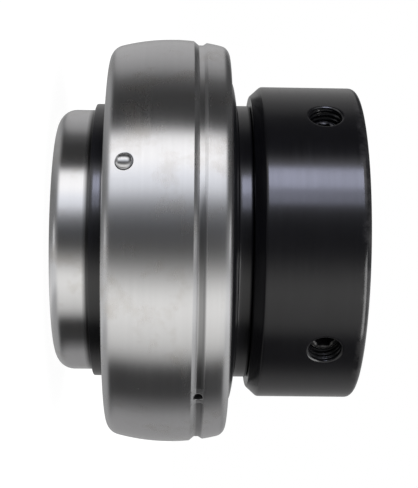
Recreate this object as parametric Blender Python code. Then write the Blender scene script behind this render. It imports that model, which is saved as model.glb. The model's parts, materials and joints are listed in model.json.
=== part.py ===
"""Insert ball bearing with a concentric locking collar.

The bearing stands on the plain end of its inner ring. Its axis is +Z, and the origin is the
centre of the plain end's face. Metres.
"""

from math import acos, asin, cos, pi, radians, sin, sqrt

import bmesh
import bpy
from mathutils import Matrix, Vector

# Rings. With the balls between them, their walls make the outside 72 mm across
BORE_DIAMETER = 0.0350
INNER_WALL = 0.00353  # from the bore to the bottom of the race
OUTER_WALL = 0.00353  # from the bottom of the race to the outside
PLAIN_LENGTH = 0.0092  # the plain end's reach below the outer ring's lower face
LIP_PLAIN_SIDE = 0.0027  # the outer ring's reach past its seal, below and above
LIP_COLLAR_SIDE = 0.0015
PLAIN_SIDE_ROUND = 0.0027  # roundings of the outer ring's two outside corners
COLLAR_SIDE_ROUND = 0.0019
PLAIN_END_ROUND = 0.0024
BORE_CHAMFER = 0.0008
END_RECESS = 0.0005  # how far inside the collar's end face the inner ring ends

# Lubrication groove and locating pin
SLOT_FROM_TOP = 0.0051
SLOT_WIDTH = 0.0020
SLOT_DEPTH = 0.0006
GREASE_HOLE_DIAMETER = 0.0015
PIN_DIAMETER = 0.0028
PIN_FROM_BASE = 0.0036
PIN_DEPTH = 0.0026
PIN_CROWN = 0.0007  # how far the pin's dome stands out

# Balls, races and cage
BALL_COUNT = 9
BALL_DIAMETER = 0.0111
RACE_DEPTH = 0.0023
RACE_RADIUS_OVER_BALL = 0.00017
CAGE_SHEET = 0.0008
CAGE_WIDTH = 0.0043
RIVET_DIAMETER = 0.0014
RIVET_HEAD_DIAMETER = 0.0026
RIVET_HEAD_HEIGHT = 0.0005

# Seals and flingers
SEAL_SPACE = 0.0007  # from the cage to a seal
SEAL_THICKNESS = 0.0010
SEAL_GROOVE_DEPTH = 0.0010
FLINGER_SHEET = 0.0006
FLINGER_REACH = 0.0037  # how far a flinger's hub stands past the outer ring's upper face
FLINGER_RIM_GAP = 0.0006  # between a flinger's rim and the outer ring
FLINGER_DOME = 0.0024  # how far its dome rises from the rim to the hub
FLINGER_HUB_WALL = 0.00104
FLINGER_HUB_LIP = 0.0002

# Locking collar and set screws
COLLAR_OFFSET = 0.0055  # from the outer ring's upper face to the collar's full diameter
COLLAR_WIDTH = 0.0176
COLLAR_WALL = 0.00455  # from the inner ring's land to the outside of the collar
COLLAR_BASE_ROUND = 0.0016
COLLAR_END_ROUND = 0.0018
COLLAR_CHAMFER = 0.0006
NOSE_WALL = 0.0030
NECK_WALL = 0.0036  # the inner ring's wall inside the collar
SCREW_DIAMETER = 0.0052
SCREW_FROM_END = 0.0072
SCREW_RECESS = 0.0026  # how far a screw's outer end lies below the collar's outside
SCREW_TIP_GAP = 0.0007  # how far a screw's tip stays back from the bore
SOCKET_ACROSS = 0.0030
SOCKET_DEPTH = 0.0026
SINK_WIDTH = 0.0010  # a countersink is this much wider than its hole, all round
SINK_DEPTH = 0.0012
CLEARANCE_HOLE_MARGIN = 0.0004

# Where the small features lie round the axis, from +X towards +Y
UPPER_SCREW_ANGLE = radians(220.0)
LOWER_SCREW_ANGLE = radians(310.0)
PIN_ANGLE = radians(249.6)
GREASE_HOLE_ANGLE = radians(316.5)
FIRST_BALL_ANGLE = radians(270.0)

# Clearances
RUNNING = 0.00010  # between a piece and the piece it turns or slides in
SEAT = 0.00008  # between fixed pieces that touch
RACE_PLAY = 0.00017  # between a ball and the bottom of its race
POCKET_PLAY = 0.00030  # between a ball and its cage pocket
LIP_GAP = 0.00015  # between a seal's lip and the land it runs on

# Facets
RING_STEPS = 48
HOLE_STEPS = 16

# Radii that follow
BORE_RADIUS = BORE_DIAMETER / 2
BALL_RADIUS = BALL_DIAMETER / 2
RACE_RADIUS = BALL_RADIUS + RACE_RADIUS_OVER_BALL
INNER_RACE_BOTTOM = BORE_RADIUS + INNER_WALL
PITCH_RADIUS = INNER_RACE_BOTTOM + RACE_PLAY + BALL_RADIUS
OUTER_RACE_BOTTOM = PITCH_RADIUS + BALL_RADIUS + RACE_PLAY
OUTER_RADIUS = OUTER_RACE_BOTTOM + OUTER_WALL
LAND_RADIUS = INNER_RACE_BOTTOM + RACE_DEPTH
SHOULDER_RADIUS = OUTER_RACE_BOTTOM - RACE_DEPTH
COLLAR_RADIUS = LAND_RADIUS + COLLAR_WALL
NECK_RADIUS = BORE_RADIUS + NECK_WALL
COLLAR_BORE_RADIUS = NECK_RADIUS + SEAT
NOSE_RADIUS = COLLAR_BORE_RADIUS + NOSE_WALL
SCREW_RADIUS = SCREW_DIAMETER / 2
RIVET_RADIUS = RIVET_DIAMETER / 2
CAGE_GAP = SEAT / 2  # each cage half's flat starts this far from the ball plane

# Heights that follow
POCKET_RADIUS = BALL_RADIUS + POCKET_PLAY
SEAL_START = POCKET_RADIUS + CAGE_SHEET + SEAL_SPACE  # a seal's inner face, from the ball plane
SEAL_END = SEAL_START + SEAL_THICKNESS
BALL_HEIGHT = PLAIN_LENGTH + LIP_PLAIN_SIDE + SEAL_END  # the plane of the ball centres
OUTER_TOP = BALL_HEIGHT + SEAL_END + LIP_COLLAR_SIDE
HUB_END = SEAL_END + LIP_COLLAR_SIDE + FLINGER_REACH  # a flinger's outer end, from the ball plane
NOSE_BASE = BALL_HEIGHT + HUB_END + SEAT
COLLAR_BASE = OUTER_TOP + COLLAR_OFFSET
TOTAL_LENGTH = COLLAR_BASE + COLLAR_WIDTH
SCREW_HEIGHT = TOTAL_LENGTH - SCREW_FROM_END
SLOT_HEIGHT = OUTER_TOP - SLOT_FROM_TOP
PIN_HEIGHT = PLAIN_LENGTH + PIN_FROM_BASE


def clear_scene():
    for obj in list(bpy.data.objects):
        bpy.data.objects.remove(obj)


def material(name, colour, metallic, roughness):
    made = bpy.data.materials.new(name)
    made.use_nodes = True
    shader = made.node_tree.nodes["Principled BSDF"]
    shader.inputs["Base Color"].default_value = (*colour, 1.0)
    shader.inputs["Metallic"].default_value = metallic
    shader.inputs["Roughness"].default_value = roughness
    return made


def direction(angle):
    return Vector((cos(angle), sin(angle), 0.0))


def polar(radius, angle, height):
    return Vector((radius * cos(angle), radius * sin(angle), height))


def arc(centre_r, centre_z, radius, start, end, steps):
    """Points (r, z) on a circle of the section plane; angles in degrees from +r towards +z."""
    points = []
    for i in range(steps + 1):
        t = radians(start + (end - start) * i / steps)
        points.append((centre_r + radius * cos(t), centre_z + radius * sin(t)))
    return points


def object_from(bm, name, shade, origin=(0.0, 0.0, 0.0), smooth_below=40.0):
    bmesh.ops.remove_doubles(bm, verts=bm.verts, dist=1e-7)
    bmesh.ops.recalc_face_normals(bm, faces=bm.faces)
    mesh = bpy.data.meshes.new(name)
    bm.to_mesh(mesh)
    bm.free()
    mesh.transform(Matrix.Translation(-Vector(origin)))
    mesh.materials.append(shade)
    for face in mesh.polygons:
        face.use_smooth = True
    mesh.set_sharp_from_angle(angle=radians(smooth_below))
    obj = bpy.data.objects.new(name, mesh)
    obj.location = origin
    bpy.context.scene.collection.objects.link(obj)
    return obj


def spun(profile, steps, closed=True):
    """A profile of (r, z) points turned round the Z axis. An open profile ends on the axis."""
    bm = bmesh.new()
    verts = [bm.verts.new((r, 0.0, z)) for r, z in profile]
    edges = [bm.edges.new(pair) for pair in zip(verts, verts[1:])]
    if closed:
        edges.append(bm.edges.new((verts[-1], verts[0])))
    axis = (0, 0, 1)
    bmesh.ops.spin(bm, geom=verts + edges, axis=axis, angle=2 * pi, steps=steps, use_merge=True)
    bmesh.ops.remove_doubles(bm, verts=bm.verts, dist=1e-7)
    return bm


def pointed(bm, towards, at=(0.0, 0.0, 0.0)):
    """Turns a shape made along +Z to lie along another direction, and moves its origin to a point."""
    turn = Vector(towards).to_track_quat("Z", "Y").to_matrix().to_4x4()
    bmesh.ops.transform(bm, matrix=Matrix.Translation(Vector(at)) @ turn, verts=bm.verts)
    return bm


def rod_profile(radius, start, end):
    return [(0, start), (radius, start), (radius, end), (0, end)]


def cut(target, cutter):
    cutter.hide_render = True
    cutter.display_type = "WIRE"
    boolean = target.modifiers.new(cutter.name, "BOOLEAN")
    boolean.operation = "DIFFERENCE"
    boolean.solver = "EXACT"
    boolean.object = cutter


def outer_radius_at(height):
    """The outside of the outer ring: a sphere about the centre of the ball set."""
    return sqrt(OUTER_RADIUS**2 - (height - BALL_HEIGHT) ** 2)


def sphere_points(low, high, steps):
    heights = [low + (high - low) * i / steps for i in range(steps + 1)]
    return [(outer_radius_at(z), z) for z in heights]


def race_points(bottom, sign, steps=6):
    """The race's arc from the upper shoulder round its bottom to the lower shoulder."""
    centre = bottom - sign * RACE_RADIUS
    half = acos((RACE_RADIUS - RACE_DEPTH) / RACE_RADIUS)
    angles = [half * (2 * i / steps - 1) for i in range(steps + 1)]
    return [(centre + sign * RACE_RADIUS * cos(t), BALL_HEIGHT - RACE_RADIUS * sin(t)) for t in angles]


def outer_ring(steel):
    inner_chamfer = 0.0004
    mouth = SHOULDER_RADIUS + inner_chamfer
    groove = SHOULDER_RADIUS + SEAL_GROOVE_DEPTH
    face_wall = outer_radius_at(PLAIN_LENGTH) - mouth
    lower_round = min(PLAIN_SIDE_ROUND, 0.8 * face_wall)
    upper_round = min(COLLAR_SIDE_ROUND, 0.8 * face_wall)

    corner = PLAIN_LENGTH + lower_round
    profile = [(mouth, PLAIN_LENGTH)]
    profile += arc(outer_radius_at(corner) - lower_round, corner, lower_round, -90, -8, 4)
    profile += sphere_points(corner + 0.0004, SLOT_HEIGHT - SLOT_WIDTH / 2, 7)
    floor = outer_radius_at(SLOT_HEIGHT) - SLOT_DEPTH
    profile += [(floor, SLOT_HEIGHT - SLOT_WIDTH / 4), (floor, SLOT_HEIGHT + SLOT_WIDTH / 4)]
    corner = OUTER_TOP - upper_round
    profile += sphere_points(SLOT_HEIGHT + SLOT_WIDTH / 2, corner - 0.0003, 2)
    profile += arc(outer_radius_at(corner) - upper_round, corner, upper_round, 14, 90, 4)
    profile += [(mouth, OUTER_TOP), (SHOULDER_RADIUS, OUTER_TOP - inner_chamfer)]
    seat = [(SHOULDER_RADIUS, SEAL_END), (groove, SEAL_END)]
    seat += [(groove, SEAL_START), (SHOULDER_RADIUS, SEAL_START)]
    profile += [(r, BALL_HEIGHT + away) for r, away in seat]
    profile += race_points(OUTER_RACE_BOTTOM, 1)
    profile += [(r, BALL_HEIGHT - away) for r, away in seat[::-1]]
    profile += [(SHOULDER_RADIUS, PLAIN_LENGTH + inner_chamfer)]
    ring = object_from(spun(profile, RING_STEPS), "outer_ring", steel)

    past_race, past_outside = SHOULDER_RADIUS - 0.002, OUTER_RADIUS + 0.002
    hole = spun(rod_profile(GREASE_HOLE_DIAMETER / 2, past_race, past_outside), 8, closed=False)
    pointed(hole, direction(GREASE_HOLE_ANGLE), (0, 0, SLOT_HEIGHT))
    cut(ring, object_from(hole, "grease_hole_cutter", steel))
    hole = spun(rod_profile(PIN_DIAMETER / 2 + SEAT, pin_floor() - SEAT, past_outside), 12, closed=False)
    pointed(hole, direction(PIN_ANGLE), (0, 0, PIN_HEIGHT))
    cut(ring, object_from(hole, "pin_hole_cutter", steel))
    return ring


def pin_floor():
    """How far from the axis the locating pin's inner end lies."""
    return outer_radius_at(PIN_HEIGHT) - PIN_DEPTH


def locating_pin(steel):
    """A short pin with a domed head that keeps the outer ring from turning in its housing."""
    radius, bevel = PIN_DIAMETER / 2, 0.0002
    base = outer_radius_at(PIN_HEIGHT)
    dome = [(radius * cos(radians(t)), base + PIN_CROWN * sin(radians(t))) for t in (0, 22, 45, 67)]
    profile = [(0, pin_floor()), (radius - bevel, pin_floor()), (radius, pin_floor() + bevel)]
    profile += dome + [(0, base + PIN_CROWN)]
    bm = pointed(spun(profile, 12, closed=False), direction(PIN_ANGLE), (0, 0, PIN_HEIGHT))
    return object_from(bm, "locating_pin", steel, polar(base, PIN_ANGLE, PIN_HEIGHT))


def inner_ring(steel):
    top = TOTAL_LENGTH - END_RECESS
    step = NOSE_BASE - SEAT  # where the land steps down to the neck
    neck_chamfer = 0.0005
    profile = [(BORE_RADIUS + BORE_CHAMFER, 0.0)]
    profile += arc(LAND_RADIUS - PLAIN_END_ROUND, PLAIN_END_ROUND, PLAIN_END_ROUND, -90, 0, 4)
    profile += race_points(INNER_RACE_BOTTOM, -1)[::-1]
    profile += [(LAND_RADIUS, step), (NECK_RADIUS, step)]
    profile += [(NECK_RADIUS, top - neck_chamfer), (NECK_RADIUS - neck_chamfer, top)]
    profile += [(BORE_RADIUS + BORE_CHAMFER, top), (BORE_RADIUS, top - BORE_CHAMFER)]
    profile += [(BORE_RADIUS, BORE_CHAMFER)]
    ring = object_from(spun(profile, RING_STEPS), "inner_ring", steel)
    hole_radius = SCREW_RADIUS + CLEARANCE_HOLE_MARGIN
    for name, angle in screw_places():
        hole = spun(rod_profile(hole_radius, 0, LAND_RADIUS), HOLE_STEPS, closed=False)
        pointed(hole, direction(angle), (0, 0, SCREW_HEIGHT))
        cut(ring, object_from(hole, f"{name}_clearance_cutter", steel))
    return ring


def screw_places():
    return (("set_screw_upper", UPPER_SCREW_ANGLE), ("set_screw_lower", LOWER_SCREW_ANGLE))


def locking_collar(steel):
    """The collar with its stepped nose. Each set screw's hole starts with a countersink."""
    bore, low, high = COLLAR_BORE_RADIUS, COLLAR_BASE_ROUND, COLLAR_END_ROUND
    profile = [(bore, NOSE_BASE), (NOSE_RADIUS, NOSE_BASE), (NOSE_RADIUS, COLLAR_BASE)]
    profile += arc(COLLAR_RADIUS - low, COLLAR_BASE + low, low, -90, 0, 4)
    profile += arc(COLLAR_RADIUS - high, TOTAL_LENGTH - high, high, 0, 90, 5)
    profile += [(bore + COLLAR_CHAMFER, TOTAL_LENGTH), (bore, TOTAL_LENGTH - COLLAR_CHAMFER)]
    collar = object_from(spun(profile, RING_STEPS), "locking_collar", steel)
    hole_radius, outside = SCREW_RADIUS + RUNNING, COLLAR_RADIUS + 0.001
    mouth = hole_radius + SINK_WIDTH
    sunk = rod_profile(hole_radius, BORE_RADIUS, COLLAR_RADIUS - SINK_DEPTH)[:3]
    sunk += [(mouth, COLLAR_RADIUS), (mouth, outside), (0, outside)]
    for name, angle in screw_places():
        hole = pointed(spun(sunk, HOLE_STEPS, closed=False), direction(angle), (0, 0, SCREW_HEIGHT))
        cut(collar, object_from(hole, f"{name}_hole_cutter", steel))
    return collar


def set_screw(name, angle, steel):
    """A headless screw with a six-sided socket and a cup point that reaches towards the shaft."""
    inner, outer = BORE_RADIUS + SCREW_TIP_GAP, COLLAR_RADIUS - SCREW_RECESS
    cup, cup_depth, bevel = 0.55 * SCREW_RADIUS, 0.0003, 0.0005
    profile = [(0, inner + cup_depth), (cup, inner), (SCREW_RADIUS, inner + SCREW_RADIUS - cup)]
    profile += [(SCREW_RADIUS, outer - bevel), (SCREW_RADIUS - bevel, outer), (0, outer)]
    place = polar((inner + outer) / 2, angle, SCREW_HEIGHT)
    body = pointed(spun(profile, HOLE_STEPS, closed=False), direction(angle), (0, 0, SCREW_HEIGHT))
    screw = object_from(body, name, steel, place, smooth_below=30.0)
    hexagon = rod_profile(SOCKET_ACROSS / sqrt(3), outer - SOCKET_DEPTH, outer + SOCKET_DEPTH)
    socket = spun(hexagon, 6, closed=False)
    pointed(socket, direction(angle), (0, 0, SCREW_HEIGHT))
    cut(screw, object_from(socket, f"{name}_socket_cutter", steel))
    return screw


def ball(number, steel):
    place = polar(PITCH_RADIUS, ball_angle(number), BALL_HEIGHT)
    bm = bmesh.new()
    bmesh.ops.create_uvsphere(bm, u_segments=12, v_segments=8, radius=BALL_RADIUS)
    bmesh.ops.transform(bm, matrix=Matrix.Translation(place), verts=bm.verts)
    return object_from(bm, f"ball_{number}", steel, place, smooth_below=180.0)


def ball_angle(number):
    return FIRST_BALL_ANGLE + 2 * pi * (number - 1) / BALL_COUNT


def rivet_angle(number):
    return ball_angle(number) + pi / BALL_COUNT


def ribbon_height(radius, offset, pocket, flat):
    """How far the sheet stands from the ball plane at a radius and an angle from a ball's centre.

    Over a ball it is part of a sphere about that ball, and between balls it is flat.
    """
    away = (radius * cos(offset) - PITCH_RADIUS) ** 2 + (radius * sin(offset)) ** 2
    return max(flat, sqrt(max(0.0, pocket**2 - away)))


def ribbon_offsets():
    """Angles from one ball's centre at which the ribbon gets a row of points, closer where it bends."""
    inside = asin(POCKET_RADIUS / PITCH_RADIUS)
    outside = asin((POCKET_RADIUS + CAGE_SHEET) / PITCH_RADIUS)
    half = [inside * share for share in (0.42, 0.76, 0.90, 1.0)] + [outside]
    return [-t for t in half[::-1]] + [0.0] + half + [pi / BALL_COUNT]


def cage_half(name, side, steel):
    """One pressed half of the ribbon cage: a flat ring with a round pocket pressed in at each ball."""
    bm = bmesh.new()
    flat = CAGE_GAP
    radii = [PITCH_RADIUS + CAGE_WIDTH / 2 * share for share in (-1, 0, 1)]
    rows = []
    for number in range(1, BALL_COUNT + 1):
        for offset in ribbon_offsets():
            angle = ball_angle(number) + offset
            inner = [ribbon_height(r, offset, POCKET_RADIUS, flat) for r in radii]
            outer = [ribbon_height(r, offset, POCKET_RADIUS + CAGE_SHEET, flat + CAGE_SHEET) for r in radii]
            loop = [polar(r, angle, BALL_HEIGHT + side * h) for r, h in zip(radii, inner)]
            loop += [polar(r, angle, BALL_HEIGHT + side * h) for r, h in zip(radii[::-1], outer[::-1])]
            rows.append([bm.verts.new(point) for point in loop])
    for row, following in zip(rows, rows[1:] + rows[:1]):
        for i in range(len(row)):
            j = (i + 1) % len(row)
            bm.faces.new((row[i], row[j], following[j], following[i]))
    half = object_from(bm, name, steel, (0, 0, BALL_HEIGHT))

    holes = bmesh.new()
    for number in range(1, BALL_COUNT + 1):
        bmesh.ops.create_cone(
            holes,
            cap_ends=True,
            segments=8,
            radius1=RIVET_RADIUS + RUNNING,
            radius2=RIVET_RADIUS + RUNNING,
            depth=8 * CAGE_SHEET,
            matrix=Matrix.Translation(polar(PITCH_RADIUS, rivet_angle(number), BALL_HEIGHT)),
        )
    cut(half, object_from(holes, f"{name}_rivet_cutter", steel))
    return half


def rivet(number, steel):
    head, edge = RIVET_HEAD_DIAMETER / 2, 0.0002
    start = CAGE_GAP + CAGE_SHEET + SEAT / 2
    end = start + RIVET_HEAD_HEIGHT
    upper = [(RIVET_RADIUS, start), (head, start), (head - edge, end), (0, end)]
    profile = [(r, -z) for r, z in upper[::-1]] + upper
    place = polar(PITCH_RADIUS, rivet_angle(number), BALL_HEIGHT)
    bm = spun(profile, 8, closed=False)
    bmesh.ops.transform(bm, matrix=Matrix.Translation(place), verts=bm.verts)
    return object_from(bm, f"rivet_{number}", steel, place)


def seal(name, side, rubber):
    """A flat rubber washer whose rim sits in the outer ring and whose lip runs on the inner ring."""
    low, high = SEAL_START + SEAT, SEAL_END - SEAT
    rim = SHOULDER_RADIUS + SEAL_GROOVE_DEPTH - SEAT
    lip = LAND_RADIUS + LIP_GAP
    section = [(rim, low), (rim, high), (lip + 0.0016, high), (lip, high - 0.0001)]
    section += [(lip, low + 0.0003), (lip + 0.0009, low)]
    profile = [(r, BALL_HEIGHT + side * z) for r, z in section]
    return object_from(spun(profile, RING_STEPS), name, rubber, (0, 0, BALL_HEIGHT))


def flinger(name, side, steel):
    """A pressed-steel shroud on the inner ring: a dome in front of the seal, and a hub along the ring."""
    bore, rim = LAND_RADIUS + SEAT, SHOULDER_RADIUS - FLINGER_RIM_GAP
    hub, start = bore + FLINGER_HUB_WALL, SEAL_END + 0.0004
    # Points of the dome: shares of the way in from the rim, each with its share of the rise
    shares = ((0.0, 0.41), (0.20, 0.70), (0.55, 0.88), (1.0, 1.0))
    dome = [(rim - inward * (rim - hub), start + up * FLINGER_DOME) for inward, up in shares]
    lip = FLINGER_HUB_LIP
    outside = dome + [(hub, HUB_END - lip), (hub - lip, HUB_END), (bore, HUB_END)]
    inside = [(r, z - 1.15 * FLINGER_SHEET) for r, z in dome[-2:0:-1]]
    section = outside + [(bore, dome[-1][1] - 1.15 * FLINGER_SHEET)] + inside
    section += [(rim - FLINGER_SHEET, start), (rim, start)]
    profile = [(r, BALL_HEIGHT + side * z) for r, z in section]
    return object_from(spun(profile, RING_STEPS), name, steel, (0, 0, BALL_HEIGHT))


def main():
    clear_scene()
    ground = material("ground_steel", (0.74, 0.75, 0.78), 1.0, 0.22)
    black = material("blackened_steel", (0.022, 0.022, 0.026), 0.55, 0.38)
    rubber = material("seal_rubber", (0.030, 0.030, 0.032), 0.0, 0.55)
    pressed = material("pressed_steel", (0.50, 0.50, 0.51), 1.0, 0.35)
    polished = material("polished_steel", (0.82, 0.83, 0.85), 1.0, 0.06)

    outer_ring(ground)
    inner_ring(ground)
    locking_collar(black)
    for name, angle in screw_places():
        set_screw(name, angle, black)
    locating_pin(ground)
    for number in range(1, BALL_COUNT + 1):
        ball(number, polished)
        rivet(number, pressed)
    for name, side in (("cage_half_collar_side", 1), ("cage_half_plain_side", -1)):
        cage_half(name, side, pressed)
    for place, side in (("collar_side", 1), ("plain_side", -1)):
        seal(f"seal_{place}", side, rubber)
        flinger(f"flinger_{place}", side, black)


main()
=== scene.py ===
"""Looks of an insert ball bearing with a locking collar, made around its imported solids."""

import json
from math import acos, ceil, cos, pi, radians, sin, sqrt, tau

import bmesh
import bpy
import numpy as np
from bpy.props import FloatProperty, FloatVectorProperty, PointerProperty
from mathutils import Matrix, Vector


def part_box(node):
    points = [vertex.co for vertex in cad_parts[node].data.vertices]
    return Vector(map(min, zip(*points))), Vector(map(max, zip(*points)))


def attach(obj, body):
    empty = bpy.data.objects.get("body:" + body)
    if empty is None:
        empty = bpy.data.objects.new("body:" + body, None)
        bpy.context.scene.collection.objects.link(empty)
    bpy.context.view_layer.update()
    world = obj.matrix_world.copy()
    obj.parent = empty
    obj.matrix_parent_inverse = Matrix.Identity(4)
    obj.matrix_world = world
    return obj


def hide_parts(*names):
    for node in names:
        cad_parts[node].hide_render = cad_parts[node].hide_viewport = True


bl_info = {
    "name": "Insert Bearing",
    "version": (1, 0, 0),
    "blender": (4, 5, 0),
    "location": "View3D > Sidebar > Bearing",
    "description": "Turned, ground and pressed pieces of an insert ball bearing, with its studio",
    "category": "Add Mesh",
}

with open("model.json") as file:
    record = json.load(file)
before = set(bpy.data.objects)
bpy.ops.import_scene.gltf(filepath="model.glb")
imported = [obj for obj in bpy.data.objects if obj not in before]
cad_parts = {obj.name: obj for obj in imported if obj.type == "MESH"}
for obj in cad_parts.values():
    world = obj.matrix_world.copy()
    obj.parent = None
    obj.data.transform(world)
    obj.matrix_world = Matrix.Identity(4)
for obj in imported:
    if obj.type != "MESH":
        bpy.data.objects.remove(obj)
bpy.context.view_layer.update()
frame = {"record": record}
BODY_OF = {n: body for body, nodes in frame["record"]["behaviour"]["bodies"].items() for n in nodes}


def half_width(node):
    """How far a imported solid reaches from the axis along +X."""
    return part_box(node)[1].x


def low(node):
    """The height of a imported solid's lowest point."""
    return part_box(node)[0].z


def high(node):
    """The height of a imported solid's highest point."""
    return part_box(node)[1].z


BALL_PLANE = (low("ball_1") + high("ball_1")) / 2
BALLS = 9
SHOULDER_REACH = 0.0070  # how far from the ball plane the shoulders beside the outer race reach


# Properties


def length(name, description, default):
    """A size in metres."""
    return FloatProperty(name=name, description=description, default=default, min=0.0, unit="LENGTH", precision=5)


def turn(name, description, degrees):
    """An angle, given in degrees and kept in radians."""
    return FloatProperty(name=name, description=description, default=radians(degrees), unit="ROTATION")


def tint(name, description, default):
    """A linear colour."""
    return FloatVectorProperty(name=name, description=description, default=default, min=0.0, size=3, subtype="COLOR")


class BearingSizes(bpy.types.PropertyGroup):
    """Sizes of the pieces, in metres."""

    ball_plane: length("Ball Plane", "Height of the plane of the ball centres", BALL_PLANE)
    ball_radius: length("Ball Radius", "Radius of each ball", high("ball_1") - BALL_PLANE)
    pitch_radius: length("Pitch Radius", "From the axis to each ball centre", 0.02675)
    bore: length("Bore Radius", "Radius of the hole for the shaft", 0.0175)
    outer: length("Outside Radius", "Radius of the outer ring's spherical outside", half_width("outer_ring"))
    ring_low: length("Ring Plain Face", "Height of the outer ring's plain face", low("outer_ring"))
    ring_high: length("Ring Collar Face", "Height of the outer ring's other face", high("outer_ring"))
    plain_round: length("Plain Side Rounding", "Outer ring's rounding on the plain side", 0.0027)
    collar_round: length("Collar Side Rounding", "Outer ring's rounding on the collar's side", 0.0019)
    shoulder: length("Shoulder Radius", "Inside radius of the outer ring beside its race", 0.03017)
    race_depth: length("Race Depth", "Depth of each race below its shoulders", 0.0023)
    race_radius: length("Race Radius", "Radius of each race across the ball", 0.00572)
    slot_height: length("Groove Height", "Height of the middle of the grease groove", 0.0250)
    slot_width: length("Groove Width", "Width of the grease groove at its mouth", 0.0022)
    slot_depth: length("Groove Depth", "Depth of the grease groove", 0.0006)
    grease_hole: length("Grease Hole Radius", "Radius of the hole in the groove", 0.00075)
    pin_radius: length("Pin Radius", "Radius of the locating pin", 0.0014)
    pin_height: length("Pin Height", "Height of the locating pin's axis", 0.0128)
    pin_depth: length("Pin Depth", "How far the pin reaches into the ring", 0.0026)
    pin_crown: length("Pin Crown", "How far the pin's dome stands out", 0.0010)
    land: length("Land Radius", "Radius of the inner ring's ground land", half_width("inner_ring"))
    inner_top: length("Inner Ring Top", "Height of the inner ring's collar end", high("inner_ring"))
    plain_end_round: length("Plain End Rounding", "Rounding of the inner ring's plain end", 0.0032)
    neck: length("Neck Radius", "Radius of the inner ring inside the collar", 0.0211)
    # Heights between which painted shade darkens the land beside the plain side's flinger
    land_shade_start: length("Land Shade Start", "Height on the land where the painted shade starts", 0.0057)
    land_shade_end: length("Land Shade Full", "Height on the land where the painted shade is darkest", 0.0067)
    flinger_start: length("Flinger Start", "How far a flinger's rim lies from the ball plane", 0.00875)
    flinger_end: length("Flinger End", "How far a flinger's hub reaches from the ball plane", 0.01355)
    flinger_hub: length("Flinger Hub Radius", "Outside radius of a flinger's hub", 0.02445)
    flinger_dome: length("Flinger Dome", "How far a flinger's dome rises from its rim", 0.0024)
    flinger_sheet: length("Flinger Sheet", "Thickness of a flinger's sheet", 0.0006)
    collar_base: length("Collar Base", "Height of the collar's face beside the flinger", low("locking_collar"))
    base_bevel: length("Collar Base Bevel", "Bevel of the collar's corner beside the flinger", 0.0017)
    end_round: length("Collar End Rounding", "Rounding of the collar's free end", 0.0013)
    end_width: length("Collar End Slope Width", "Width of the shallow cone round the collar's end face", 0.0045)
    end_slope: length("Collar End Slope Height", "Height of that cone", 0.0006)
    sink: length("Countersink", "Width and depth of the countersinks round the screws' holes", 0.00035)
    collar: length("Collar Radius", "Outside radius of the collar", half_width("locking_collar"))
    collar_top: length("Collar Top", "Height of the collar's end", high("locking_collar"))
    collar_bore: length("Collar Bore Radius", "Radius of the collar's bore", 0.02118)
    screw_radius: length("Screw Radius", "Radius of each set screw over its thread", 0.0026)
    screw_height: length("Screw Height", "Height of the set screws' axes", 0.0460)
    screw_outer: length("Screw Outer End", "From the axis to a set screw's socket end", 0.02528)
    screw_inner: length("Screw Tip", "From the axis to a set screw's cup point", 0.0182)
    pitch: length("Thread Pitch", "Pitch of the set screws' thread", 0.0009)
    socket_across: length("Socket Width", "Width of each six-sided socket across its flats", 0.0030)
    socket_depth: length("Socket Depth", "Depth of each six-sided socket", 0.0026)
    upper_screw: turn("Upper Screw Angle", "Where the upper set screw sits round the axis", 220.0)
    lower_screw: turn("Lower Screw Angle", "Where the lower set screw sits round the axis", 310.0)
    pin_angle: turn("Pin Angle", "Where the locating pin sits round the axis", 249.6)
    grease_angle: turn("Grease Hole Angle", "Where the grease hole sits round the axis", 316.5)


class BearingFinishes(bpy.types.PropertyGroup):
    """Colours of the finishes."""

    ground: tint("Ground Steel", "Colour of the ground rings", (0.66, 0.66, 0.67))
    stain: tint("Handling Stain", "Colour of the faint stains on ground steel", (0.50, 0.47, 0.43))
    oxide: tint("Black Oxide", "Colour of the blackened collar and flingers", (0.0045, 0.0044, 0.0052))
    bare: tint("Worn Edge", "Colour where the oxide is rubbed thin", (0.16, 0.155, 0.15))
    rubber: tint("Seal Rubber", "Colour of the moulded seals", (0.028, 0.028, 0.030))
    pressed: tint("Pressed Steel", "Colour of the cage", (0.46, 0.45, 0.44))
    polished: tint("Polished Steel", "Colour of the balls", (0.80, 0.81, 0.83))


class BearingStudio(bpy.types.PropertyGroup):
    """The studio's light and camera."""

    level: FloatProperty(name="Light Level", description="Plain level of the light all round", default=0.9)
    distance: length("Camera Distance", "From the bearing's axis to the camera", 0.2372)
    aim_height: length("Aim Height", "Height on the axis that the camera looks at", 0.02707)
    yaw: turn("Camera Yaw", "How far the camera looks up along the axis", 1.432)
    roll: turn("Camera Roll", "How far the camera is rolled", -0.745)
    lens: FloatProperty(name="Lens", description="Focal length in millimetres", default=96.36, min=1.0)
    shift: FloatProperty(name="Shift", description="Shift of the frame along its long side", default=-0.0063)


# Profiles and meshes

SEAM = pi / 2  # the first column of turned work lies at +Y, away from the camera
LIP_ARC = (0.5, 1.1, pi / 2)  # angles of the points of a small rounding between its two ends
CLOSE = 0.00004  # how near to a rounding a straight line has its first point
SAME = 1e-7  # lengths that differ by less are the same
FIT = 0.00008  # play between two pieces that touch


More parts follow.
